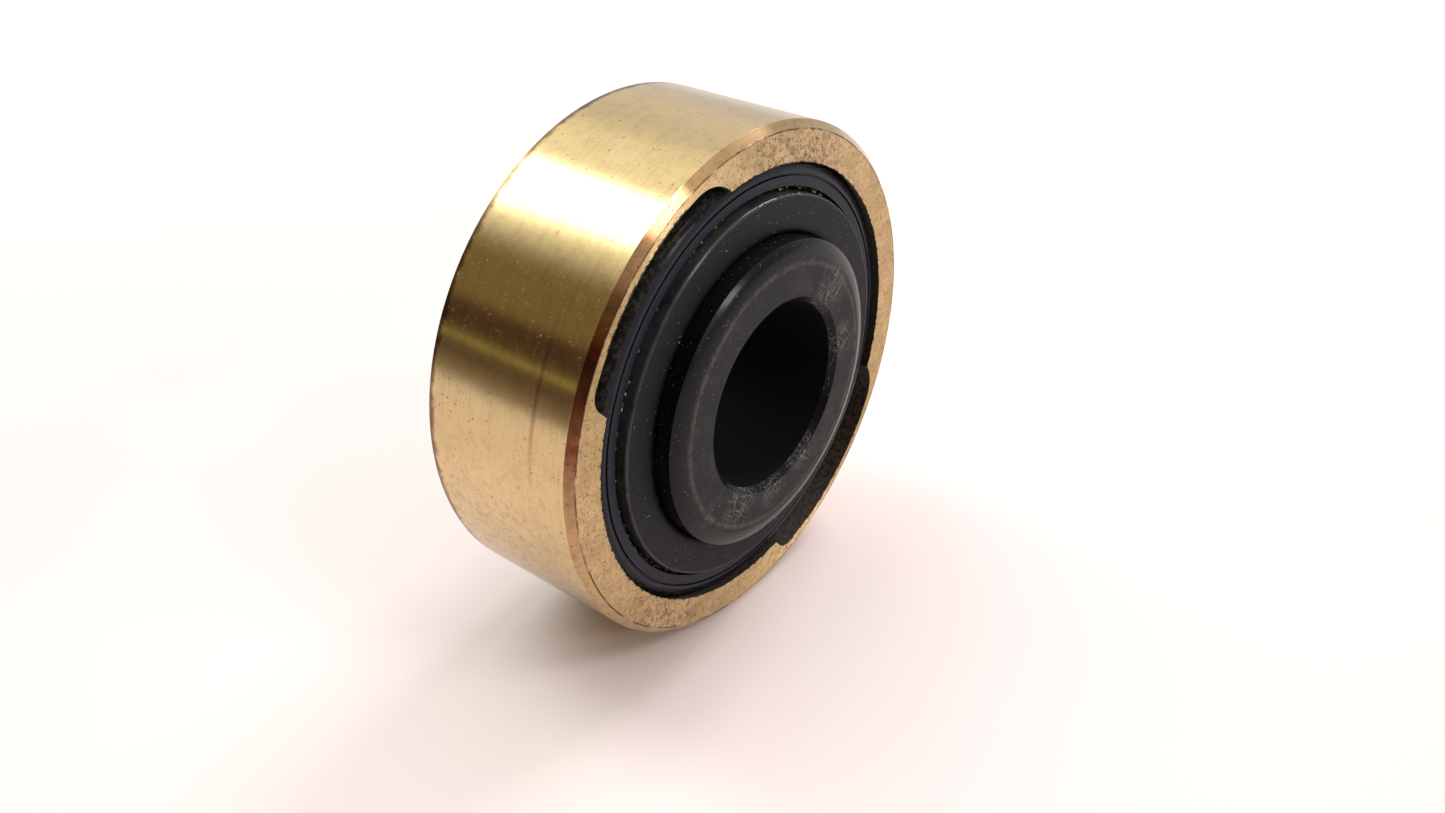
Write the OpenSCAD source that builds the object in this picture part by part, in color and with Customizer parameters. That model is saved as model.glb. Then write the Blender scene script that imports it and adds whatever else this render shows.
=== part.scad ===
// Self-aligning cam follower. A turned brass tyre holds a black sealed ball bearing in a
// spherical seat, so that the tyre can tilt a little and still roll true on its cam.
// Everything turns about Y. The front, with the two loading slots, faces -Y, +Z is up and
// the origin is the centre of the spherical seat. Sizes are in millimetres.

/* [Tyre] */
// Wall between the spherical seat and the tread, at the middle of the tyre
tyre_wall = 3.2; // [2.5:0.1:12]
// Width across the two faces
tyre_w = 27; // [20:0.5:33]
// Chamfer on both edges of the tread
tyre_chamfer = 1.1; // [0.4:0.1:1.4]
// Radial play between the bearing's sphere and its seat in the tyre
seat_clearance = 0.06; // [0.02:0.01:0.1]

/* [Loading slots] */
// Room on each side of the outer ring as it goes in edge on
slot_side_room = 3.95; // [0.5:0.05:5]
// Radial room between the sphere and the outer wall of a slot
slot_end_room = 0.8; // [0.3:0.1:1.2]
// Radius of the tight corner at one end of a slot
slot_tight_r = 3; // [1:0.5:4]
// Radius of the open corner at the end where the cutter runs out
slot_open_r = 6.5; // [3:0.5:8]
// Angle of the first slot's middle, from +X towards +Z
slot_angle = 130.5; // [0:0.5:180]

/* [Balls] */
// Number of balls
ball_count = 9; // [7:1:12]
// Diameter of a ball
ball_d = 11.112; // [9:0.004:14]
// Room between two neighbouring ball pockets, for a rivet
rivet_room = 4.35; // [3.6:0.05:6]
// Radial play between a ball and each ball groove
ball_clearance = 0.06; // [0.02:0.01:0.1]
// Radius of a ball groove as a share of the ball's diameter
groove_share = 0.52; // [0.515:0.005:0.54]

/* [Rings] */
// Radial gap between the lands of the inner and the outer ring
land_gap = 6.5; // [5.4:0.1:8]
// Wall of the outer ring, from its lands to the sphere
outer_wall = 6.05; // [4.5:0.05:8]
// Width of the rim between each face of the outer ring and its seal groove
outer_rim = 2.75; // [2:0.05:4]
// Radius of the outer ring's corners, between face and sphere
outer_corner_r = 2.8; // [1.5:0.1:3.2]
// Width of the turned line at the foot of each corner
face_line_w = 0.3; // [0.2:0.05:0.5]
// Depth of that line
face_line_depth = 0.3; // [0.1:0.05:0.5]
// Bore of the inner ring, for the stud
bore_d = 28.575; // [20:0.005:34]
// Chamfer at both ends of the bore
bore_chamfer = 1; // [0.4:0.1:2]
// How far the inner ring stands proud of the outer ring on each side
inner_rise = 4.75; // [3:0.25:9]
// How far the inner ring's crowned corners run in across its faces
crown_run = 3.25; // [1.5:0.25:4]
// How far those corners drop at the outside diameter
crown_drop = 1; // [0.5:0.1:1.4]

/* [Cage] */
// Thickness of the steel strip
cage_t = 1.2; // [0.8:0.1:1.6]
// Radial room between the strip and the lands on each side
cage_side_room = 1.15; // [0.6:0.05:1.4]
// Play between a ball and its pocket
pocket_clearance = 0.2; // [0.12:0.02:0.3]
// Shank diameter of a rivet
rivet_d = 2; // [1.4:0.1:2.4]
// Diameter of a rivet's head
rivet_head_d = 3.2; // [2.8:0.1:3.4]
// Height of a rivet's head
rivet_head_h = 0.8; // [0.5:0.1:1.2]
// Play between a rivet and its hole
rivet_clearance = 0.03; // [0.02:0.01:0.05]

/* [Seals] */
// Room between the cage and each seal
cage_to_seal = 1.044; // [0.4:0.004:2]
// Width of a seal groove in the outer ring
seal_groove_w = 2; // [1.7:0.1:2.6]
// Depth of a seal groove
seal_groove_depth = 1; // [0.6:0.1:1.4]
// Thickness of the steel disc in a seal
seal_disc_t = 0.7; // [0.5:0.1:0.8]
// How far that disc stops short of the inner ring
seal_disc_gap = 1.7; // [1.5:0.1:2.5]
// Thickness of the rubber facing and of the rubber lip
rubber_t = 0.7; // [0.5:0.1:0.8]
// Play of the rubber bead in its groove
bead_clearance = 0.05; // [0.03:0.01:0.08]
// Running clearance between the rubber lip and the inner ring
lip_clearance = 0.05; // [0.03:0.01:0.1]

/* [Flingers] */
// Thickness of the pressed sheet
flinger_t = 0.9; // [0.6:0.1:1.1]
// How far a flinger stands proud of the outer ring's face
flinger_rise = 1.35; // [0.5:0.05:2]
// Radial gap between a flinger and the outer ring, filled with grease
flinger_gap = 0.75; // [0.4:0.05:1.5]
// Gap between the turned-in rim of a flinger and the seal behind it
flinger_to_seal = 1.2; // [0.5:0.1:2]
// Radial play of a flinger's collar on the inner ring
collar_clearance = 0.02; // [0.01:0.01:0.03]

/* [Hidden] */
// Smoothness of round surfaces
$fn = 180;
// How far a cutting shape reaches past what it cuts
past = 1;

// From the balls outwards and inwards, so that each piece fits the one it runs on
ball_r = ball_d / 2;
pocket_r = ball_r + pocket_clearance;
dish_r = pocket_r + cage_t;
pitch_r = (2 * dish_r + rivet_room) / (2 * sin(180 / ball_count));
groove_r = groove_share * ball_d + ball_clearance;
inner_r = pitch_r - land_gap / 2;
land_r = pitch_r + land_gap / 2;
sphere_r = land_r + outer_wall;
seat_r = sphere_r + seat_clearance;
tyre_r = sphere_r + tyre_wall;
// From the middle plane towards each face
seal_foot = dish_r + cage_to_seal;
seal_top = seal_foot + seal_groove_w;
outer_h = seal_top + outer_rim;
inner_h = outer_h + inner_rise;
flinger_top = outer_h + flinger_rise;
flinger_foot = seal_top + flinger_to_seal;
// The slots, from the outer ring that passes through them
slot_r = sphere_r + slot_end_room;
slot_half_w = outer_h + slot_side_room;

// Turns a piece drawn about Z, with its front upwards, onto the follower's own axis
module on_axis() {
    rotate([90, 0, 0]) children();
}

// Copies a front piece to the back
module at_back() {
    mirror([0, 0, 1]) children();
}

// A section that is the same in front of and behind the middle plane
module both_sides() {
    children();
    mirror([0, 1]) children();
}

// What a rounded corner cuts away. The arc's centre is at the local origin, and the corner
// lies between the directions given by two angles.
module corner_cut(r, from, to) {
    reach = r + past;
    difference() {
        polygon([
            [0, 0], reach * [cos(from), sin(from)],
            reach / cos((to - from) / 2) * [cos((from + to) / 2), sin((from + to) / 2)],
            reach * [cos(to), sin(to)]
        ]);
        circle(r);
    }
}

// Places its children at each ball, in the plane of the pitch circle
module at_balls(offset_steps = 0) {
    for (i = [1:ball_count])
        rotate((i - 1 + offset_steps) * 360 / ball_count) translate([pitch_r, 0, 0]) children();
}

// Half of a slot in plan, from its middle to one end. The slot points along +X, its outer
// wall is an arc about the seat's centre, and the cutter leaves radius r in the corner.
module slot_half(r) {
    corner_y = slot_half_w - r;
    corner_x = sqrt(pow(slot_r - r, 2) - pow(corner_y, 2));
    square([corner_x, slot_half_w]);
    translate([corner_x, corner_y]) circle(r);
    intersection() {
        circle(slot_r);
        polygon([[0, 0], [2 * slot_r, 0], 2 * slot_r / corner_x * [corner_x, corner_y]]);
    }
}

// Both slots in plan. Both have their tight corner at the same end of the cutter's path.
module slots_plan() {
    for (side = [0, 1]) mirror([side, 0]) {
        slot_half(slot_tight_r);
        mirror([0, 1]) slot_half(slot_open_r);
    }
}

// Brass tyre with a spherical seat, and two slots milled from the front to the middle plane
module tyre() {
    h = tyre_w / 2;
    face_r = tyre_r - tyre_chamfer;
    color("goldenrod") on_axis() difference() {
        rotate_extrude() polygon([
            [0, -h], [face_r, -h], [tyre_r, -h + tyre_chamfer],
            [tyre_r, h - tyre_chamfer], [face_r, h], [0, h]
        ]);
        sphere(seat_r);
        rotate(slot_angle) linear_extrude(h + past) slots_plan();
    }
}

// Outer ring: spherical outside, ball groove, lands, and a groove for each seal
module outer_ring() {
    corner_y = outer_h - outer_corner_r;
    corner_x = sqrt(pow(sphere_r - outer_corner_r, 2) - pow(corner_y, 2));
    color("dimgray") on_axis() rotate_extrude() difference() {
        intersection() {
            circle(sphere_r);
            translate([land_r, -outer_h]) square([outer_wall + past, 2 * outer_h]);
        }
        translate([pitch_r + ball_r + ball_clearance - groove_r, 0]) circle(groove_r);
        both_sides() {
            translate([corner_x, corner_y])
                corner_cut(outer_corner_r, atan2(corner_y, corner_x), 90);
            translate([land_r - past, seal_foot])
                square([seal_groove_depth + past, seal_groove_w]);
            translate([corner_x - face_line_w, outer_h - face_line_depth])
                square([face_line_w, face_line_depth + past]);
        }
    }
}

// Inner ring: extended on both sides, with crowned outer corners and a chamfered bore
module inner_ring() {
    bore_r = bore_d / 2;
    mouth_r = bore_r + bore_chamfer;
    crown_r = (pow(crown_run, 2) + pow(crown_drop, 2)) / (2 * crown_drop);
    color("dimgray") on_axis() rotate_extrude() difference() {
        polygon([
            [mouth_r, -inner_h], [inner_r, -inner_h], [inner_r, inner_h], [mouth_r, inner_h],
            [bore_r, inner_h - bore_chamfer], [bore_r, -inner_h + bore_chamfer]
        ]);
        translate([pitch_r - ball_r - ball_clearance + groove_r, 0]) circle(groove_r);
        both_sides() difference() {
            translate([inner_r - crown_run, inner_h - crown_drop])
                square([crown_run + past, crown_drop + past]);
            translate([inner_r - crown_run, inner_h - crown_r]) circle(crown_r);
        }
    }
}

// One bearing ball
module ball(i) {
    color("silver") on_axis() rotate((i - 1) * 360 / ball_count)
        translate([pitch_r, 0, 0]) sphere(ball_r);
}

// Front half of the pressed ribbon cage: a flat strip dished round the front of each ball
module cage_half() {
    strip_r = inner_r + cage_side_room;
    strip_w = land_gap - 2 * cage_side_room;
    difference() {
        intersection() {
            union() {
                cylinder(h = cage_t, r = land_r);
                at_balls() sphere(dish_r);
            }
            rotate_extrude() translate([strip_r, 0]) square([strip_w, dish_r + past]);
        }
        at_balls() sphere(pocket_r);
        at_balls(0.5) translate([0, 0, -past]) cylinder(h = cage_t + 2 * past, d = rivet_d);
    }
}

module cage_front() {
    color("darkgray") on_axis() cage_half();
}

module cage_back() {
    color("darkgray") on_axis() at_back() cage_half();
}

// Rivets that close the cage between the balls
module cage_rivets() {
    shank_r = rivet_d / 2 - rivet_clearance;
    head_r = rivet_head_d / 2;
    bevel = rivet_head_h / 2;
    color("silver") on_axis() at_balls(0.5) rotate_extrude() {
        translate([0, -cage_t]) square([shank_r, 2 * cage_t]);
        both_sides() translate([0, cage_t]) polygon([
            [0, 0], [head_r, 0], [head_r, bevel], [head_r - bevel, rivet_head_h],
            [0, rivet_head_h]
        ]);
    }
}

// Section of the steel disc that stiffens a seal
module seal_disc_section() {
    disc_r = inner_r + seal_disc_gap;
    translate([disc_r, seal_foot + bead_clearance]) square([land_r - disc_r, seal_disc_t]);
}

// Section of the rubber: a bead in the outer ring's groove, a facing and a running lip
module seal_lip_section() {
    foot = seal_foot + bead_clearance;
    top = seal_top - bead_clearance;
    facing = foot + seal_disc_t + rubber_t;
    lip_r = inner_r + lip_clearance;
    bead_r = land_r + seal_groove_depth - bead_clearance;
    difference() {
        polygon([
            [lip_r, foot + rubber_t], [lip_r + rubber_t, foot], [bead_r, foot], [bead_r, top],
            [land_r - rubber_t, top], [land_r - 2 * rubber_t, facing],
            [lip_r + 2 * rubber_t, facing], [lip_r + rubber_t, top], [lip_r, top]
        ]);
        seal_disc_section();
    }
}

module seal_disc_front() {
    color("slategray") on_axis() rotate_extrude() seal_disc_section();
}

module seal_disc_back() {
    color("slategray") on_axis() at_back() rotate_extrude() seal_disc_section();
}

module seal_lip_front() {
    color("black") on_axis() rotate_extrude() seal_lip_section();
}

module seal_lip_back() {
    color("black") on_axis() at_back() rotate_extrude() seal_lip_section();
}

// Section of a flinger: a flat disc with a collar on the inner ring and a turned-in rim
module flinger_section() {
    collar_r = inner_r + collar_clearance;
    rim_r = land_r - flinger_gap;
    depth = flinger_top - flinger_foot;
    edge_r = flinger_t / 2;
    difference() {
        translate([collar_r, flinger_foot]) square([rim_r - collar_r, depth]);
        translate([collar_r + flinger_t, flinger_foot - past])
            square([rim_r - collar_r - 2 * flinger_t, depth - flinger_t + past]);
        translate([collar_r + flinger_t, flinger_top - flinger_t]) corner_cut(flinger_t, 90, 180);
        translate([rim_r - edge_r, flinger_top - edge_r]) corner_cut(edge_r, 0, 90);
    }
}

module flinger_front() {
    color("dimgray") on_axis() rotate_extrude() flinger_section();
}

module flinger_back() {
    color("dimgray") on_axis() at_back() rotate_extrude() flinger_section();
}

tyre();
outer_ring();
inner_ring();
for (i = [1:ball_count]) ball(i);
cage_front();
cage_back();
cage_rivets();
seal_disc_front();
seal_disc_back();
seal_lip_front();
seal_lip_back();
flinger_front();
flinger_back();
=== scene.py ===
import math
import random

import bmesh
import bpy
from mathutils import Matrix, Vector


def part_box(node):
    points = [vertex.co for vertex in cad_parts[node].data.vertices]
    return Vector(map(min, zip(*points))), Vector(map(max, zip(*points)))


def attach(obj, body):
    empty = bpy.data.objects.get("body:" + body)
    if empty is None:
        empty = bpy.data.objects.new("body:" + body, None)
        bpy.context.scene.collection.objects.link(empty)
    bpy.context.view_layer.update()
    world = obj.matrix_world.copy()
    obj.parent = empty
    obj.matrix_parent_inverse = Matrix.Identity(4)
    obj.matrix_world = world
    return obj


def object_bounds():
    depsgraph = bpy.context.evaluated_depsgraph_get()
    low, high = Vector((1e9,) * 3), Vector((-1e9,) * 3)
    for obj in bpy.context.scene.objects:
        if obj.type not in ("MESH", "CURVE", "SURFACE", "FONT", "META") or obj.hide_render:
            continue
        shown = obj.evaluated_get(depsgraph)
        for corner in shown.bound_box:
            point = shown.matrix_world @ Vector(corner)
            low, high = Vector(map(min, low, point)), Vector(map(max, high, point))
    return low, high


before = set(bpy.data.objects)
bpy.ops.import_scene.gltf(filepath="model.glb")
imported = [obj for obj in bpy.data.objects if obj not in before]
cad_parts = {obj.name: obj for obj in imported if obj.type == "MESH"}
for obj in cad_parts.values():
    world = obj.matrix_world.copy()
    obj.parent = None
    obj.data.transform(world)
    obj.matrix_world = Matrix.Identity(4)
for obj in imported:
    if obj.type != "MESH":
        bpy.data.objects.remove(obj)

cad_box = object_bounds()


# The inner ring. Bearing steel, turned, hardened and ground, then blackened in a hot oxide bath.
# It slides on the stud, and washers have rubbed its two end faces and chipped the bore's edge.

MM = 0.001
inner_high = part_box("inner_ring")[1]
INNER_R = inner_high.x / MM
INNER_H = inner_high.y / MM
BORE_R = 14.29
BORE_CHAMFER = 1.0
CROWN_RUN = 3.25
CROWN_START = INNER_R - CROWN_RUN   # where the flat end face turns into the crowned corner


def linear(hex_colour):
    """An sRGB hex colour as linear red, green, blue and alpha."""
    parts = [int(hex_colour[i:i + 2], 16) / 255 for i in (1, 3, 5)]
    return [p / 12.92 if p <= 0.04045 else ((p + 0.055) / 1.055) ** 2.4 for p in parts] + [1]


def add(tree, kind, inputs=None, **settings):
    """Adds a shader node with its settings and links. Inputs go by name or by number.

    A node given as an input stands for its first live output.
    """
    node = tree.nodes.new("ShaderNode" + kind)
    for name, value in settings.items():
        setattr(node, name, value)
    for key, value in (inputs or {}).items():
        socket = node.inputs[key] if isinstance(key, int) else next(
            s for s in node.inputs if s.name == key and s.enabled)
        if isinstance(value, bpy.types.Node):
            value = next(o for o in value.outputs if o.enabled)
        if isinstance(value, bpy.types.NodeSocket):
            tree.links.new(value, socket)
        else:
            socket.default_value = value
    return node


def new_finish(name, **constants):
    """A material with one surface shader, whose constants are set on the shader itself.

    Returns the material, its tree, the place on the object in millimetres, and a function that
    finishes the shader with its colour, roughness, relief and other inputs.
    """
    material = bpy.data.materials.new(name)
    material.use_nodes = True
    tree = material.node_tree
    tree.nodes.clear()
    at = add(tree, "TexCoord")
    place = add(tree, "VectorMath", {0: at.outputs["Object"], "Scale": 1 / MM}, operation="SCALE")

    def done(colour, roughness, height=None, depth_mm=0.0, **more):
        inputs = {k.replace("_", " "): v for k, v in {**constants, **more}.items()}
        inputs["Base Color"], inputs["Roughness"] = colour, roughness
        if height is not None:
            inputs["Normal"] = add(tree, "Bump", {"Height": height, "Distance": depth_mm * MM})
        add(tree, "OutputMaterial", {"Surface": add(tree, "BsdfPrincipled", inputs)})
    return material, tree, place, done


# Black oxide on ground steel: nearly black under a film of oil, satin, and rubbed warm grey where
# washers have turned on it.
rubbed_oxide, tree, place, done = new_finish("black_oxide_rubbed", Metallic=0.0, IOR=1.5)


def radius_and_depth(tree, place):
    """How far a point lies from the follower's axis, and from its middle plane, in millimetres."""
    xyz = add(tree, "SeparateXYZ", {0: place})
    flat = add(tree, "CombineXYZ", {"X": xyz.outputs["X"], "Z": xyz.outputs["Z"]})
    radius = add(tree, "VectorMath", {0: flat}, operation="LENGTH")
    depth = add(tree, "Math", {0: xyz.outputs["Y"]}, operation="ABSOLUTE")
    return radius.outputs["Value"], depth.outputs[0]


def above(tree, value, level, blur):
    """0 where value is under level and 1 where it is over, with a soft step as wide as blur."""
    ends = {"Value": value, "From Min": level - blur / 2, "From Max": level + blur / 2}
    return add(tree, "MapRange", ends, interpolation_type="SMOOTHSTEP")


def grain(tree, place, size_mm, detail=3.0, stretch=(1, 1, 1), **more):
    """Noise whose lumps are about size_mm across, drawn out along an axis where stretch is under 1."""
    drawn = add(tree, "VectorMath", {0: place, 1: stretch}, operation="MULTIPLY")
    noise = add(tree, "TexNoise", {"Vector": drawn, "Scale": 0.5 / size_mm, "Detail": detail, **more})
    return noise.outputs[0]


radius, depth = radius_and_depth(tree, place)
end_face = above(tree, depth, INNER_H - 0.06, 0.06)
cloud = grain(tree, place, 3.0)
grit = grain(tree, place, 0.25)
colour = add(tree, "Mix", {"Factor": cloud, "A": linear("#070708"), "B": linear("#0e0e10")},
             data_type="RGBA")
face_colour = add(tree, "Mix", {"Factor": cloud, "A": linear("#1c1c1f"), "B": linear("#28282b")},
                  data_type="RGBA")
face_colour = add(tree, "Mix", {"Factor": above(tree, grain(tree, place, 1.2), 0.55, 0.2),
                                "A": face_colour, "B": linear("#2c2b2b")}, data_type="RGBA")
colour = add(tree, "Mix", {"Factor": end_face, "A": colour, "B": face_colour}, data_type="RGBA")


def between(tree, value, low, high, blur):
    """1 where value lies between low and high."""
    under = add(tree, "Math", {0: 1.0, 1: above(tree, value, high, blur)}, operation="SUBTRACT")
    return add(tree, "Math", {0: above(tree, value, low, blur), 1: under}, operation="MULTIPLY")


# The edge of the flat face is rubbed through in a broken line about 0.5 mm wide
ragged = add(tree, "Math", {0: grit, 1: 1.2, 2: radius}, operation="MULTIPLY_ADD")
edge_line = add(tree, "Math", {0: between(tree, ragged, CROWN_START + 0.25, CROWN_START + 0.95, 0.4),
                               1: above(tree, depth, INNER_H - 0.5, 0.2)}, operation="MULTIPLY")
edge_line = add(tree, "Math", {0: edge_line, 1: above(tree, grain(tree, place, 0.8), 0.42, 0.25)},
                operation="MULTIPLY")
colour = add(tree, "Mix", {"Factor": add(tree, "Math", {0: edge_line, 1: 0.3}, operation="MULTIPLY"),
                           "A": colour, "B": linear("#625d59")}, data_type="RGBA")


def near(tree, place, spots):
    """1 round each spot, falling to 0 at its radius. A spot is x, y, z and radius in millimetres."""
    total = None
    for x, y, z, radius in spots:
        gap = add(tree, "VectorMath", {0: place, 1: (x, y, z)}, operation="DISTANCE").outputs["Value"]
        close = add(tree, "MapRange", {"Value": gap, "From Min": radius, "From Max": radius * 0.3})
        total = close if total is None else add(tree, "Math", {0: total, 1: close}, operation="MAXIMUM")
    return total


# Where nuts, washers and stud threads have bruised the front face, beside the bore
bruises = [(12.6, -INNER_H, 12.9, 4.6), (16.4, -INNER_H, 2.5, 3.6), (7.0, -INNER_H, -13.2, 3.8),
           (-1.0, -INNER_H, -15.8, 3.6), (-9.0, -INNER_H, -13.5, 5.0),
           (-16.4, -INNER_H, -12.5, 1.6)]
# Scratches: long thin noise laid three ways, kept to the bruised places
marks = None
for turn, size in ((0.5, 0.17), (1.3, 0.14), (2.4, 0.15)):
    turned = add(tree, "VectorRotate", {"Vector": place, "Axis": (0, 1, 0), "Angle": turn})
    line = above(tree, grain(tree, turned, size, 2.0, (0.1, 1, 1.4), Distortion=0.15), 0.62, 0.08)
    marks = line if marks is None else add(tree, "Math", {0: marks, 1: line}, operation="MAXIMUM")
marks = add(tree, "Math", {0: marks, 1: near(tree, place, bruises)}, operation="MULTIPLY")
colour = add(tree, "Mix", {"Factor": add(tree, "Math", {0: marks, 1: 0.42}, operation="MULTIPLY"),
                           "A": colour, "B": linear("#8a8681")}, data_type="RGBA")
# Specks of dust and bare metal all over
specks = above(tree, grain(tree, place, 0.22, 1.0), 0.73, 0.04)
colour = add(tree, "Mix", {"Factor": add(tree, "Math", {0: specks, 1: 0.4}, operation="MULTIPLY"),
                           "A": colour, "B": linear("#77736d")}, data_type="RGBA")
# Painted shade: the bore is painted darker than the rest of the ring, for the shade deep inside it
in_bore = between(tree, radius, 0.0, BORE_R + 0.05, 0.05)
colour = add(tree, "Mix", {"Factor": in_bore, "A": colour, "B": linear("#050506")}, data_type="RGBA")
roughness = add(tree, "Mix", {"Factor": end_face,
                              "A": add(tree, "Mix", {"Factor": cloud, "A": 0.2, "B": 0.32}),
                              "B": add(tree, "Mix", {"Factor": cloud, "A": 0.5, "B": 0.62})})
roughness = add(tree, "Mix", {"Factor": in_bore, "A": roughness, "B": 0.85})
height = add(tree, "Math", {0: marks, 1: 2.0, 2: grit}, operation="MULTIPLY_ADD")
# The oil film shines where nothing has rubbed it off: on the crowned corners and the side walls
oily = add(tree, "Math", {0: above(tree, radius, CROWN_START + 0.9, 0.5), 1: 0.14}, operation="MULTIPLY")
done(colour, roughness, height, 0.02, Specular_IOR_Level=0.12, Coat_Weight=oily, Coat_Roughness=0.13)


def lay_on(material, *names):
    """Gives CAD nodes this material."""
    for name in names:
        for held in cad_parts[name].material_slots:
            held.material = material


lay_on(rubbed_oxide, "inner_ring")

# Chips of metal that the stud has raised along the mouth of the bore
chance = random.Random(28)


def lumps(name, body, finish, places):
    """One piece of many small rough lumps, each with a centre, three sizes and a direction, in metres."""
    mesh = bmesh.new()
    for centre, sizes, along in places:
        turn = Vector(along).to_track_quat("X", "Z").to_matrix()
        made = bmesh.ops.create_icosphere(mesh, subdivisions=2, radius=1.0)["verts"]
        pushes = {}
        for vert in made:
            key = tuple(round(c, 1) for c in vert.co)
            push = pushes.setdefault(key, 0.7 + 0.45 * chance.random())
            vert.co = Vector(centre) + turn @ Vector([c * push * s for c, s in zip(vert.co, sizes)])
    data = bpy.data.meshes.new(name)
    mesh.to_mesh(data)
    mesh.free()
    piece = bpy.data.objects.new(name, data)
    bpy.context.scene.collection.objects.link(piece)
    data.materials.append(finish)
    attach(piece, body)


def around(radius_mm, depth_mm, degrees):
    """A point at that radius and depth, turned anticlockwise from +X as seen from the front."""
    angle = math.radians(degrees)
    return Vector((radius_mm * math.cos(angle), depth_mm, radius_mm * math.sin(angle))) * MM


# Freshly raised steel: bright, torn, catching the light in points.
torn_steel, tree, place, done = new_finish("torn_steel", Metallic=1.0)
colour = add(tree, "Mix",
             {"Factor": grain(tree, place, 0.15), "A": linear("#2f2e2d"), "B": linear("#86827c")},
             data_type="RGBA")
done(colour, add(tree, "Mix", {"Factor": grain(tree, place, 0.1), "A": 0.35, "B": 0.6}),
     grain(tree, place, 0.08), 0.03)
SUNK = 0.02   # how deep a burr's middle lies in the steel
# Each stretch of burrs: where it starts and ends, in degrees, and how many it holds
places = []
for start, end, count in ((-28, 22, 14), (36, 60, 10), (228, 250, 8), (262, 306, 13), (95, 110, 3)):
    for _ in range(count):
        where = chance.uniform(start, end)
        out = chance.uniform(0.05, 0.7)
        size = chance.uniform(0.05, 0.14) * MM
        tangent = around(1, 0, where + 90 + chance.uniform(-35, 35))
        on_chamfer = around(BORE_R + out, -(INNER_H - BORE_CHAMFER + out) + SUNK, where)
        places.append((on_chamfer, (size * chance.uniform(1.4, 3.4), size * 0.8, size * 0.6), tangent))
lumps("bore_burrs", "inner_race", torn_steel, places)


# The balls. Chrome steel, cold headed, hardened, ground and lapped. They roll between the rings,
# in the pockets of the cage.

# Lapped chrome steel: a mirror, dulled in patches by a light film of grease.
lapped_steel, tree, place, done = new_finish("lapped_chrome_steel", Metallic=1.0)
film = grain(tree, place, 1.4)
colour = add(tree, "Mix",
             {"Factor": above(tree, film, 0.55, 0.2), "A": linear("#d2d3d6"), "B": linear("#a99b78")},
             data_type="RGBA")
done(colour, add(tree, "Mix", {"Factor": above(tree, film, 0.52, 0.2), "A": 0.06, "B": 0.24}),
     grain(tree, place, 0.5), 0.002)
lay_on(lapped_steel, *(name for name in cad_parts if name.startswith("ball_")))


# The cage. Two ribbons pressed from cold-rolled steel strip and riveted together between the
# balls.

# Cold-rolled strip: fine rolling lines, and a duller bloom where it was dished.
rolled_steel, tree, place, done = new_finish("cold_rolled_strip", Metallic=1.0)
lines = grain(tree, place, 0.2, 3.0, (0.08, 1, 1))
colour = add(tree, "Mix", {"Factor": lines, "A": linear("#8f8d88"), "B": linear("#b9b7b1")},
             data_type="RGBA")
colour = add(tree, "Mix", {"Factor": above(tree, grain(tree, place, 1.6), 0.58, 0.2), "A": colour,
                           "B": linear("#75705f")}, data_type="RGBA")
done(colour, add(tree, "Mix", {"Factor": lines, "A": 0.28, "B": 0.45}), lines, 0.006)
lay_on(rolled_steel, "cage_front", "cage_back")
# Drawn steel wire, headed cold: small hammered dents.
rivet_wire, tree, place, done = new_finish("headed_rivet_wire", Metallic=1.0)
dents = grain(tree, place, 0.35)
colour = add(tree, "Mix", {"Factor": dents, "A": linear("#9c9a95"), "B": linear("#c6c4be")},
             data_type="RGBA")
done(colour, add(tree, "Mix", {"Factor": dents, "A": 0.25, "B": 0.42}), dents, 0.02)
lay_on(rivet_wire, "cage_rivets")


# The outer ring. Bearing steel with a ground spherical outside, blackened like the inner ring.
# It sits loose in the tyre's seat and carries the seals. Old grease has dried on its sphere.

outer_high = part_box("outer_ring")[1]
SPHERE_R = outer_high.x / MM
OUTER_H = outer_high.y / MM
LAND_R = 29.95
CORNER_R = 31.4   # where the flat face ends in a fine turned step, its shade painted as a dark line

# Black oxide under oil, still nearly unworn: cold blue-black, satin.
oiled_oxide, tree, place, done = new_finish("black_oxide_oiled", Metallic=0.0, IOR=1.5)
radius, depth = radius_and_depth(tree, place)
cloud = grain(tree, place, 2.5)
grit = grain(tree, place, 0.22)
colour = add(tree, "Mix", {"Factor": cloud, "A": linear("#0f1015"), "B": linear("#181a21")},
             data_type="RGBA")
flat_face = above(tree, depth, OUTER_H - 0.05, 0.05)
face_colour = add(tree, "Mix", {"Factor": cloud, "A": linear("#1a1b25"), "B": linear("#252733")},
                  data_type="RGBA")
colour = add(tree, "Mix", {"Factor": flat_face, "A": colour, "B": face_colour}, data_type="RGBA")
# Painted shade: a dark line is painted along the step where the flat face ends
groove_shade_line = between(tree, radius, CORNER_R - 0.05, CORNER_R + 0.4, 0.1)
colour = add(tree, "Mix", {"Factor": add(tree, "Math", {0: groove_shade_line, 1: 0.85}, operation="MULTIPLY"),
                           "A": colour, "B": linear("#060608")}, data_type="RGBA")
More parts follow.
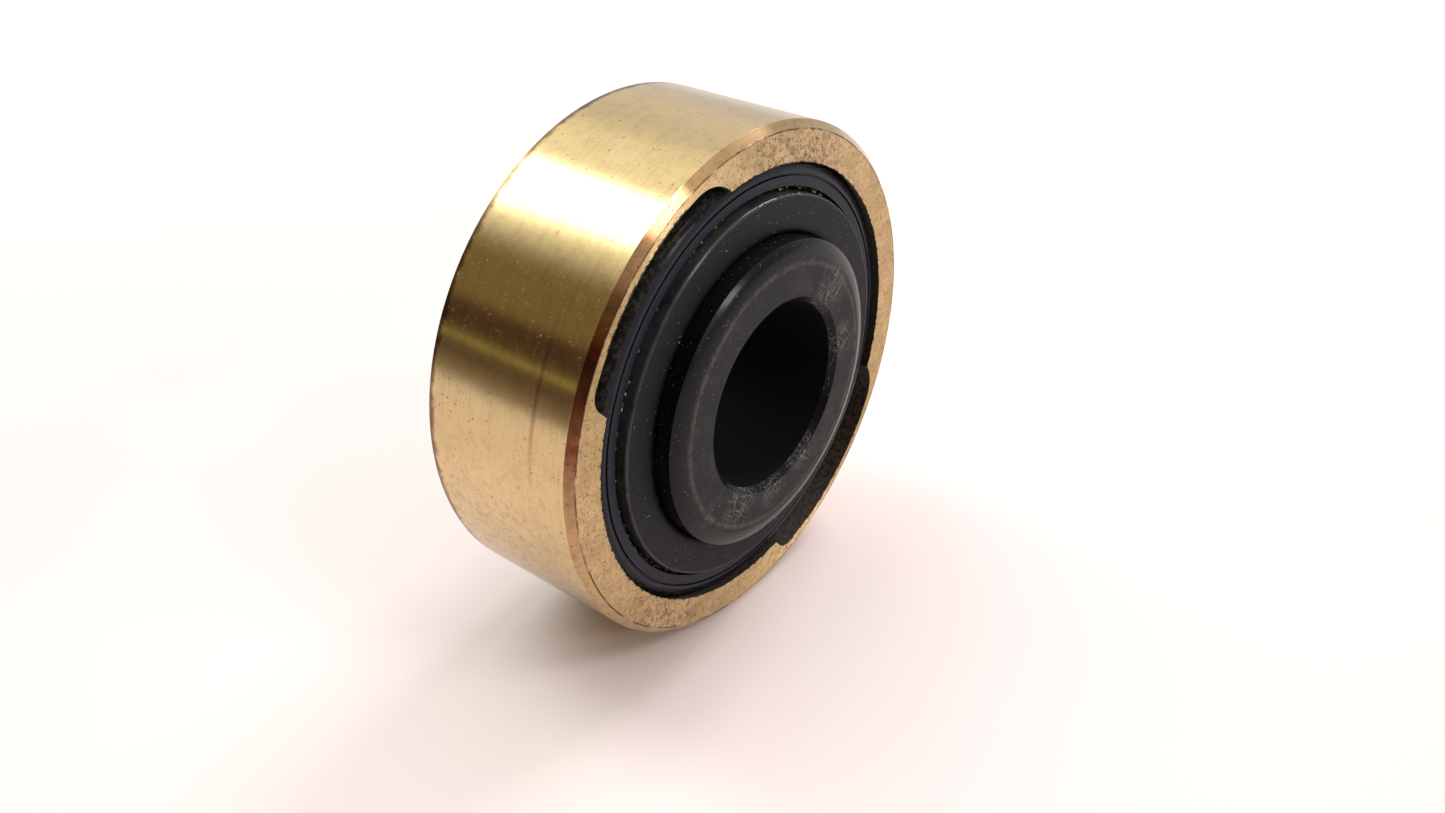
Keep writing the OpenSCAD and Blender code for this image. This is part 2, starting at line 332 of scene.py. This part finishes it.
# Dried, gritty grease over the sphere and part of the corner: brown-black granules 0.4 mm across
wavering = add(tree, "Math", {0: grain(tree, place, 2.0), 1: 1.6, 2: radius}, operation="MULTIPLY_ADD")
sphere = above(tree, wavering, CORNER_R + 2.3, 0.3)
granules = grain(tree, place, 0.4, 5.0, Roughness=0.7)
grease_colour = add(tree, "Mix", {"Factor": above(tree, granules, 0.55, 0.12), "A": linear("#050504"),
                                  "B": linear("#2b2620")}, data_type="RGBA")
colour = add(tree, "Mix", {"Factor": sphere, "A": colour, "B": grease_colour}, data_type="RGBA")
specks = above(tree, grit, 0.74, 0.04)
colour = add(tree, "Mix", {"Factor": add(tree, "Math", {0: specks, 1: 0.7}, operation="MULTIPLY"),
                           "A": colour, "B": linear("#6f6b60")}, data_type="RGBA")
ground = add(tree, "Math", {0: grit, 1: 0.1}, operation="MULTIPLY")
height = add(tree, "Mix", {"Factor": sphere, "A": ground, "B": granules})
oily = add(tree, "Math", {0: between(tree, radius, CORNER_R + 0.3, CORNER_R + 2.2, 0.3), 1: 0.1},
           operation="MULTIPLY")
roughness = add(tree, "Mix", {"Factor": cloud, "A": 0.3, "B": 0.42})
roughness = add(tree, "Mix", {"Factor": sphere, "A": roughness, "B": 0.75})
done(colour, roughness, height, 0.25, Specular_IOR_Level=0.12, Coat_Weight=oily, Coat_Roughness=0.15)
lay_on(oiled_oxide, "outer_ring")


# The seals. A pressed steel disc with nitrile rubber bonded round it. The rubber snaps into a
# groove in the outer ring, and its lip runs on the inner ring.

# Moulded nitrile: soft black with a grey bloom, and grease wiped along it.
nitrile, tree, place, done = new_finish("moulded_nitrile", Metallic=0.0, IOR=1.52)
bloom = grain(tree, place, 1.1)
colour = add(tree, "Mix", {"Factor": bloom, "A": linear("#080808"), "B": linear("#141413")},
             data_type="RGBA")
colour = add(tree, "Mix", {"Factor": above(tree, grain(tree, place, 0.5), 0.62, 0.1), "A": colour,
                           "B": linear("#26241a")}, data_type="RGBA")
done(colour, add(tree, "Mix", {"Factor": bloom, "A": 0.42, "B": 0.68}), grain(tree, place, 0.15), 0.03,
     Specular_IOR_Level=0.2)
lay_on(nitrile, "seal_lip_front", "seal_lip_back")
# Zinc-plated sheet: pale grey with a faint crystalline mottle.
zinc_sheet, tree, place, done = new_finish("zinc_plated_sheet", Metallic=1.0)
mottle = grain(tree, place, 0.8)
colour = add(tree, "Mix", {"Factor": mottle, "A": linear("#8f9398"), "B": linear("#b5b8bb")},
             data_type="RGBA")
done(colour, add(tree, "Mix", {"Factor": mottle, "A": 0.3, "B": 0.48}), mottle, 0.004)
lay_on(zinc_sheet, "seal_disc_front", "seal_disc_back")

# Grease that has crept out of the seal and lies in the groove behind the flinger: olive and black
# crumbs, a third of a millimetre across.
crept_grease, tree, place, done = new_finish("crept_grease", Metallic=0.0, IOR=1.47)
tone = grain(tree, place, 0.5)
colour = add(tree, "Mix",
             {"Factor": above(tree, tone, 0.56, 0.12), "A": linear("#10100a"), "B": linear("#86843a")},
             data_type="RGBA")
done(colour, add(tree, "Mix", {"Factor": tone, "A": 0.25, "B": 0.6}), grain(tree, place, 0.12), 0.05)
GREASE_CRUMBS = 480
for side, name in ((-1, "front"), (1, "back")):
    places = []
    for _ in range(GREASE_CRUMBS):
        size = chance.uniform(0.08, 0.22) * MM
        where = chance.uniform(0, 360)
        from_land = chance.uniform(0.12, 0.5)
        from_face = chance.uniform(0.25, 1.1)
        centre = around(LAND_R - from_land, side * (OUTER_H - from_face), where)
        places.append((centre, (size * 1.5, size, size), around(1, 0, where + 90)))
    lumps("seal_grease_" + name, "outer_race", crept_grease, places)


# The flingers. Steel sheet, pressed to a shallow dish and blackened. Each is pressed on the inner
# ring and throws dirt off the seal behind it.

flinger_low, flinger_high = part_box("flinger_front")
FLINGER_R = flinger_high.x / MM
FLINGER_FACE = flinger_low.y / MM
RIM_W = 0.35   # how far in from the outside the rim is painted lighter as a painted highlight, and oiled

# Black oxide on rolled sheet: flat, dull, a shade lighter than the ground rings.
sheet_oxide, tree, place, done = new_finish("black_oxide_sheet", Metallic=0.0, IOR=1.5)
radius = radius_and_depth(tree, place)[0]
cloud = grain(tree, place, 2.2)
tooth = grain(tree, place, 0.14)
colour = add(tree, "Mix", {"Factor": cloud, "A": linear("#131317"), "B": linear("#1c1c21")},
             data_type="RGBA")
# Painted highlight: the rim is painted a little lighter in broken patches, for the light caught along the
# flinger's edge
rim_highlight = add(tree, "Math", {0: above(tree, radius, FLINGER_R - RIM_W, 0.1),
                         1: above(tree, grain(tree, place, 1.5), 0.4, 0.3)}, operation="MULTIPLY")
colour = add(tree, "Mix", {"Factor": add(tree, "Math", {0: rim_highlight, 1: 0.2}, operation="MULTIPLY"),
                           "A": colour, "B": linear("#5a5a5c")}, data_type="RGBA")
# Painted shade: the flinger is painted near black where it meets the inner ring, for the shade in the
# crack between them
painted_shade_at_ring = between(tree, radius, 0.0, INNER_R + 1.2, 0.6)
colour = add(tree, "Mix", {"Factor": add(tree, "Math", {0: painted_shade_at_ring, 1: 0.85}, operation="MULTIPLY"),
                           "A": colour, "B": linear("#0a0a0a")}, data_type="RGBA")
specks = above(tree, grain(tree, place, 0.2, 1.0), 0.75, 0.03)
colour = add(tree, "Mix", {"Factor": add(tree, "Math", {0: specks, 1: 0.7}, operation="MULTIPLY"),
                           "A": colour, "B": linear("#7d796c")}, data_type="RGBA")
oily = add(tree, "Math", {0: above(tree, radius, FLINGER_R - RIM_W, 0.1), 1: 0.4}, operation="MULTIPLY")
done(colour, add(tree, "Mix", {"Factor": cloud, "A": 0.5, "B": 0.6}), tooth, 0.012,
     Specular_IOR_Level=0.14, Coat_Weight=oily, Coat_Roughness=0.07)
lay_on(sheet_oxide, "flinger_front", "flinger_back")

# Stray crumbs of grease and swarf that have settled on the front flinger, one of them a long sliver
STRAY_CRUMBS = 34
SLIVER = Vector((0.62, 0.08, 0.08)) * MM
places = []
for _ in range(STRAY_CRUMBS):
    size = chance.uniform(0.05, 0.12) * MM
    where = chance.uniform(0, 360)
    by_the_ring = chance.uniform(INNER_R + 0.4, INNER_R + 1.0)
    on_the_disc = chance.uniform(25.5, FLINGER_R - 0.6)
    centre = around(chance.choice((by_the_ring, on_the_disc)), FLINGER_FACE + 0.04, where)
    places.append((centre, (size * 1.8, size, size), around(1, 0, where + 60)))
places.append((around(28.15, FLINGER_FACE + 0.05, 133.3), SLIVER, around(1, 0, 30)))
lumps("stray_crumbs", "inner_race", crept_grease, places)


# The tyre. Cast brass bar, turned all over. Its seat is bored to a sphere, and two slots milled in
# from the front let the bearing in edge on. The tread is bright from running; the rest has tarnished.

tyre_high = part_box("tyre")[1]
TYRE_R = tyre_high.x / MM
TYRE_H = tyre_high.y / MM
CHAMFER = 1.1
FACE_R = TYRE_R - CHAMFER      # where the flat faces end
CHAMFER_FOOT = TYRE_H - CHAMFER   # where the tread ends
OPENING_R = 33.45              # of the seat's mouth in the front face
SLOT_ANGLE = math.radians(130.5)
SLOT_R = SPHERE_R + 0.8
SLOT_HALF_W = 16.7

# Turned brass: yellow metal whose fine turning lines run round it, so a lamp shows as a bar along
# the axis. Tarnish takes it to tan, orange and brown.
turned_brass, tree, place, done = new_finish("turned_brass", Anisotropic=0.9, Anisotropic_Rotation=0.25)
radius, depth = radius_and_depth(tree, place)
xyz = add(tree, "SeparateXYZ", {0: place})
face = above(tree, depth, TYRE_H - 0.04, 0.04)
inside = add(tree, "Math", {0: between(tree, radius, 0.0, FACE_R - 0.1, 0.05),
                            1: between(tree, depth, -1.0, TYRE_H - 0.05, 0.05)}, operation="MULTIPLY")
edges = add(tree, "Math", {0: between(tree, radius, FACE_R - 0.03, TYRE_R - 0.04, 0.04),
                           1: between(tree, depth, CHAMFER_FOOT - 0.02, TYRE_H - 0.03, 0.04)},
            operation="MULTIPLY")
cloud = grain(tree, place, 4.0)
mottle = grain(tree, place, 1.0, 5.0, Roughness=0.65)
lines = grain(tree, place, 0.25, 2.0, (0.04, 1, 0.04))

tread_colour = add(tree, "Mix", {"Factor": cloud, "A": linear("#cfb581"), "B": linear("#d6bc90")},
                   data_type="RGBA")
dull_lines = add(tree, "Math", {0: above(tree, lines, 0.6, 0.25), 1: 0.3}, operation="MULTIPLY")
tread_colour = add(tree, "Mix", {"Factor": dull_lines, "A": tread_colour, "B": linear("#bea270")},
                   data_type="RGBA")
tarnish = add(tree, "Math", {0: above(tree, mottle, 0.54, 0.3), 1: 0.2}, operation="MULTIPLY")
tread_colour = add(tree, "Mix", {"Factor": tarnish, "A": tread_colour, "B": linear("#9c7d59")},
                   data_type="RGBA")
spotted = add(tree, "Math", {0: near(tree, place, [(-32, 2, -22, 30)]),
                             1: above(tree, grain(tree, place, 0.5, 4.0), 0.58, 0.15)},
              operation="MULTIPLY")
tread_colour = add(tree, "Mix", {"Factor": add(tree, "Math", {0: spotted, 1: 0.4}, operation="MULTIPLY"),
                                 "A": tread_colour, "B": linear("#8a6a48")}, data_type="RGBA")
# A dark band rubbed along part of the tread, 7 mm from the front edge
SCUFF_Y = -6.6
SCUFF_HALF_W = 0.3
scuff_line = between(tree, xyz.outputs["Y"], SCUFF_Y - SCUFF_HALF_W, SCUFF_Y + SCUFF_HALF_W, 0.7)
scuff = add(tree, "Math", {0: scuff_line, 1: near(tree, place, [(-37.0, SCUFF_Y, 13.0, 13.0)])},
            operation="MULTIPLY")
tread_colour = add(tree, "Mix", {"Factor": add(tree, "Math", {0: scuff, 1: 0.5}, operation="MULTIPLY"),
                                 "A": tread_colour, "B": linear("#8a5636")}, data_type="RGBA")
# The back edge of the tread has browned in flecks
back_edge = add(tree, "Math", {0: mottle, 1: 2.2, 2: xyz.outputs["Y"]}, operation="MULTIPLY_ADD")
back_edge = above(tree, back_edge, TYRE_H - 0.7, 0.9)
back_edge = add(tree, "Math", {0: back_edge, 1: 0.8}, operation="MULTIPLY")
tread_colour = add(tree, "Mix", {"Factor": back_edge, "A": tread_colour, "B": linear("#5c3a2c")},
                   data_type="RGBA")

# The faces are duller, with tarnish in two sizes of cloud and brown stains in three places
fine = grain(tree, place, 0.45, 5.0, Roughness=0.7)
face_colour = add(tree, "Mix", {"Factor": cloud, "A": linear("#e0c59a"), "B": linear("#d8bd8e")},
                  data_type="RGBA")
tarnish = add(tree, "Math", {0: above(tree, fine, 0.5, 0.3), 1: 0.7}, operation="MULTIPLY")
face_colour = add(tree, "Mix", {"Factor": tarnish, "A": face_colour, "B": linear("#c3a675")},
                  data_type="RGBA")
tarnish = above(tree, grain(tree, place, 1.6, 4.0), 0.5, 0.2)
tarnish = add(tree, "Math", {0: tarnish, 1: 0.45}, operation="MULTIPLY")
face_colour = add(tree, "Mix", {"Factor": tarnish, "A": face_colour, "B": linear("#b59a6c")},
                  data_type="RGBA")
dirty = near(tree, place, [(9, -TYRE_H, 36, 17), (-22, -TYRE_H, -29, 13), (12, -TYRE_H, -36, 9)])
stain = above(tree, grain(tree, place, 0.5, 5.0, Roughness=0.75), 0.54, 0.1)
stain = add(tree, "Math", {0: stain, 1: dirty}, operation="MULTIPLY")
face_colour = add(tree, "Mix", {"Factor": add(tree, "Math", {0: stain, 1: 0.7}, operation="MULTIPLY"),
                                "A": face_colour, "B": linear("#876552")}, data_type="RGBA")

colour = add(tree, "Mix", {"Factor": face, "A": tread_colour, "B": face_colour}, data_type="RGBA")
# Heat and oil have turned the chamfers orange and brown, most of all on one side
hot_side = near(tree, place, [(-35.0, -TYRE_H, 15.5, 23.0), (-30.0, TYRE_H, 22.0, 60.0)])
browned = add(tree, "Math", {0: above(tree, mottle, 0.58, 0.2), 1: 0.12}, operation="MULTIPLY")
browned = add(tree, "Mix", {"Factor": hot_side, "A": browned, "B": 0.95})
browned = add(tree, "Math", {0: edges, 1: browned}, operation="MULTIPLY")
edge_colour = add(tree, "Mix", {"Factor": above(tree, mottle, 0.5, 0.2), "A": linear("#84442c"),
                                "B": linear("#5f3121")}, data_type="RGBA")
colour = add(tree, "Mix", {"Factor": browned, "A": colour, "B": edge_colour}, data_type="RGBA")
# A fine dark line of dirt where the chamfer meets the face
seam = between(tree, radius, FACE_R - 0.17, FACE_R + 0.06, 0.08)
seam = add(tree, "Math", {0: seam, 1: above(tree, depth, TYRE_H - 0.2, 0.1)}, operation="MULTIPLY")
broken = above(tree, grain(tree, place, 1.5), 0.42, 0.2)
seam = add(tree, "Math", {0: seam, 1: broken}, operation="MULTIPLY")
colour = add(tree, "Mix", {"Factor": add(tree, "Math", {0: seam, 1: 0.8}, operation="MULTIPLY"),
                           "A": colour, "B": linear("#3d2a1a")}, data_type="RGBA")

# Pits: a few on the tread and many on the faces, 0.1 to 0.3 mm across
few = above(tree, grain(tree, place, 0.19, 1.0), 0.725, 0.03)
many = add(tree, "Math", {0: above(tree, grain(tree, place, 0.17, 1.5), 0.64, 0.04), 1: face},
           operation="MULTIPLY")
many = add(tree, "Math", {0: many, 1: add(tree, "Mix", {"Factor": dirty, "A": 0.55, "B": 1.0})},
           operation="MULTIPLY")
pits = add(tree, "Math", {0: few, 1: many}, operation="MAXIMUM")
colour = add(tree, "Mix", {"Factor": add(tree, "Math", {0: pits, 1: 0.85}, operation="MULTIPLY"),
                           "A": colour, "B": linear("#3a2717")}, data_type="RGBA")

# Black grime has crept over the brass beside the slots and round the opening. The walls inside are
# painted the same black: grime on the slot walls, painted shade on the seat
turned = add(tree, "VectorRotate", {"Vector": place, "Axis": (0, 1, 0), "Angle": SLOT_ANGLE})
across = add(tree, "Math", {0: add(tree, "SeparateXYZ", {0: turned}).outputs["Z"]}, operation="ABSOLUTE")
ragged = add(tree, "Math", {0: grain(tree, place, 0.45, 4.0, Roughness=0.7), 1: -1.5, 2: radius},
             operation="MULTIPLY_ADD")
slotted_half = add(tree, "Math", {0: xyz.outputs["Y"], 1: 0.0}, operation="LESS_THAN")
beside_slot = add(tree, "Math", {0: slotted_half, 1: between(tree, ragged, 0.0, SLOT_R - 0.5, 0.12)},
                  operation="MULTIPLY")
beside_slot = add(tree, "Math", {0: beside_slot, 1: between(tree, across, -1.0, SLOT_HALF_W - 6.5, 0.6)},
                  operation="MULTIPLY")
round_opening = between(tree, ragged, 0.0, OPENING_R - 0.7, 0.12)
grime_and_shade = add(tree, "Math", {0: beside_slot, 1: round_opening}, operation="MAXIMUM")
# Painted shade: every wall inside the tyre is painted black, which stands for the shade on the seat
grime_and_shade = add(tree, "Math", {0: grime_and_shade, 1: inside}, operation="MAXIMUM")
granules = grain(tree, place, 0.35, 5.0, Roughness=0.7)
grime_and_shade_colour = add(tree, "Mix", {"Factor": above(tree, granules, 0.5, 0.16), "A": linear("#0b0805"),
                                 "B": linear("#3f3020")}, data_type="RGBA")
colour = add(tree, "Mix", {"Factor": grime_and_shade, "A": colour, "B": grime_and_shade_colour}, data_type="RGBA")

roughness = add(tree, "Mix", {"Factor": face,
                              "A": add(tree, "Mix", {"Factor": lines, "A": 0.18, "B": 0.22}),
                              "B": add(tree, "Mix", {"Factor": fine, "A": 0.4, "B": 0.55})})
roughness = add(tree, "Mix", {"Factor": grime_and_shade, "A": roughness, "B": 0.7})
metal = add(tree, "Mix", {"Factor": grime_and_shade, "A": 1.0, "B": 0.0})
ridges = add(tree, "Math", {0: lines, 1: 0.03}, operation="MULTIPLY")
height = add(tree, "Math", {0: pits, 1: -0.35, 2: ridges}, operation="MULTIPLY_ADD")
height = add(tree, "Mix", {"Factor": grime_and_shade, "A": height, "B": granules})
tooth = add(tree, "Math", {0: face, 1: 0.12}, operation="MULTIPLY")
height = add(tree, "Math", {0: fine, 1: tooth, 2: height}, operation="MULTIPLY_ADD")
done(colour, roughness, height, 0.06, Metallic=metal,
     Tangent=add(tree, "Tangent", direction_type="RADIAL", axis="Y"))
lay_on(turned_brass, "tyre")


# The bench it stands on: a sheet of white card. It isn't part of the follower, and nothing is
# fixed to it.

BENCH_Z = cad_box[0][2]
BENCH_HALF = 4
corners = [(x * BENCH_HALF, y * BENCH_HALF, BENCH_Z) for x, y in ((-1, -1), (1, -1), (1, 1), (-1, 1))]
bench_mesh = bpy.data.meshes.new("bench")
bench_mesh.from_pydata(corners, [], [(0, 1, 2, 3)])
bench = bpy.data.objects.new("bench", bench_mesh)
bpy.context.scene.collection.objects.link(bench)
card = bpy.data.materials.new("white_card")
card.use_nodes = True
tree = card.node_tree
tree.nodes.clear()
seen = add(tree, "LightPath")
shows = add(tree, "Math", {0: seen.outputs["Is Camera Ray"], 1: seen.outputs["Is Glossy Ray"]},
            operation="ADD")
shows = add(tree, "Math", {0: shows, 1: seen.outputs["Is Transmission Ray"]}, operation="ADD",
            use_clamp=True)
paper = add(tree, "BsdfDiffuse", {"Color": linear("#dccfd0")})
# The card's own white stops short of the follower, so that the shadow under it stays whole
on_bench = add(tree, "TexCoord").outputs["Object"]
away = add(tree, "VectorMath", {0: on_bench, 1: (-0.01, -0.01, BENCH_Z)}, operation="DISTANCE")
away = away.outputs["Value"]
# Painted shade: within a quarter metre of the follower the card's white is painted a little darker and
# pinker
card_white_and_shade = add(tree, "Mix", {"Factor": above(tree, away, 0.25, 0.3), "A": linear("#f7eae8"),
                               "B": linear("#ffffff")}, data_type="RGBA")
lit = add(tree, "Emission", {"Color": card_white_and_shade, "Strength": 1.0})
clear = add(tree, "Math", {0: above(tree, away, 0.08, 0.12), 1: 0.5}, operation="MULTIPLY")
clear = add(tree, "Mix", {"Factor": above(tree, away, 0.35, 0.4), "A": clear, "B": 1.0})
clear = add(tree, "Math", {0: shows, 1: clear}, operation="MULTIPLY")
card_mix = add(tree, "MixShader", {0: clear, 1: paper, 2: lit})
# What the tread reflects from past the bench's left end is the dim room, not card. The negative
# blur makes the step fall with x
LEFT_END = -0.36
x = add(tree, "SeparateXYZ", {0: on_bench}).outputs["X"]
past_end = add(tree, "Math", {0: seen.outputs["Is Glossy Ray"], 1: above(tree, x, LEFT_END, -0.1)},
               operation="MULTIPLY")
dark_end = add(tree, "Emission", {"Color": linear("#7a6a4e"), "Strength": 1.0})
card_mix = add(tree, "MixShader", {0: past_end, 1: card_mix, 2: dark_end})
add(tree, "OutputMaterial", {"Surface": card_mix})
bench_mesh.materials.append(card)


# The room round the bench: painted walls and ceiling, a shelf on the left. It is white where the
# camera sees it; what it gives in light and reflections is given below.

world = bpy.data.worlds.new("room")
bpy.context.scene.world = world
world.use_nodes = True
tree = world.node_tree
tree.nodes.clear()
seen = add(tree, "LightPath")
ray = add(tree, "TexCoord").outputs["Generated"]
side = add(tree, "SeparateXYZ", {0: ray})
# The ceiling and the far right are pale, and the near and left side is dim
over = add(tree, "VectorMath", {0: ray, 1: (0.9, 0.3, 1.0)}, operation="DOT_PRODUCT").outputs["Value"]
pale = add(tree, "MapRange", {"Value": over, "From Min": 0.42, "From Max": 0.85},
           interpolation_type="SMOOTHSTEP")
# Low on the left stands a dark shelf with a pale edge, and a bright strip of ceiling hangs overhead.
# Heights are in degrees from the left horizon
SHELF_TOP = 26
SHELF_EDGE = (8.7, 10.9)
CEILING_STRIP = (60, 132)
BRIGHTEST = (94, 124)
left = add(tree, "Math", {0: side.outputs["X"], 1: -1.0}, operation="MULTIPLY")
rise = add(tree, "Math", {0: side.outputs["Z"], 1: left}, operation="ARCTAN2")
rise = add(tree, "Math", {0: rise}, operation="DEGREES")
dim_side = add(tree, "Mix", {"Factor": between(tree, rise, 0, SHELF_TOP, 6), "A": linear("#877a5c"),
                             "B": linear("#523e34")}, data_type="RGBA")
dim_side = add(tree, "Mix", {"Factor": between(tree, rise, *SHELF_EDGE, 0.5), "A": dim_side,
                             "B": linear("#d2d088")}, data_type="RGBA")
room = add(tree, "Mix", {"Factor": pale, "A": dim_side, "B": linear("#e2e1e3")}, data_type="RGBA")
room = add(tree, "Mix", {"Factor": between(tree, rise, *CEILING_STRIP, 22), "A": room,
                         "B": linear("#fbfdf4")}, data_type="RGBA")
bright = add(tree, "Mix", {"Factor": between(tree, rise, *BRIGHTEST, 18), "A": 1.0, "B": 1.45})
dim = add(tree, "Background", {"Color": room, "Strength": bright})
white = add(tree, "Background", {"Color": linear("#ffffff"), "Strength": 1.0})
shown = add(tree, "MixShader", {0: seen.outputs["Is Camera Ray"], 1: dim, 2: white})
add(tree, "OutputWorld", {"Surface": shown})


# The lamps: four softboxes, flat cloth fronts over strip lights, all aimed at the follower.

def softbox(name, place, width, length, watts, colour):
    """A flat lamp of that size in metres, its length along the follower's axis as far as it can be."""
    lamp = bpy.data.lights.new(name, "AREA")
    lamp.shape, lamp.size, lamp.size_y, lamp.energy = "RECTANGLE", width, length, watts
    lamp.color = linear(colour)[:3]
    holder = bpy.data.objects.new(name, lamp)
    bpy.context.scene.collection.objects.link(holder)
    holder.visible_camera = False
    back = Vector(place).normalized()
    along = (Vector((0, 1, 0)) - back * back.y).normalized()
    facing = Matrix((along.cross(back), along, back)).transposed().to_4x4()
    holder.matrix_world = Matrix.Translation(place) @ facing


softbox("overhead_softbox", (-0.06, 0.36, 0.46), width=0.2, length=0.7, watts=2.2, colour="#f8fff6")
softbox("front_softbox", (0.038, -0.44, 0.48), width=0.2, length=0.12, watts=1.0, colour="#fffdfa")
softbox("low_softbox", (0.17, -0.545, 0.177), width=0.15, length=0.08, watts=0.6, colour="#fffdfa")
softbox("side_softbox", (0.53, -0.02, 0.6), width=0.3, length=0.28, watts=3.9, colour="#fffafc")


# The camera. It looks down at the front face from the left, 0.19 m away.

STANDS_AT = Vector((-3.127, -2.623, 2.428))   # in radii of the tyre
LOOKS_ALONG = Vector((0.6614, 0.5162, -0.5442))
camera = bpy.data.objects.new("camera", bpy.data.cameras.new("camera"))
bpy.context.scene.collection.objects.link(camera)
camera.data.sensor_width, camera.data.lens = 36.0, 30.43
camera.location = STANDS_AT * TYRE_R * MM
camera.rotation_euler = LOOKS_ALONG.to_track_quat("-Z", "Y").to_euler()
camera.data.clip_start = 0.01
bpy.context.scene.camera = camera
bpy.context.scene.view_settings.view_transform = "Standard"
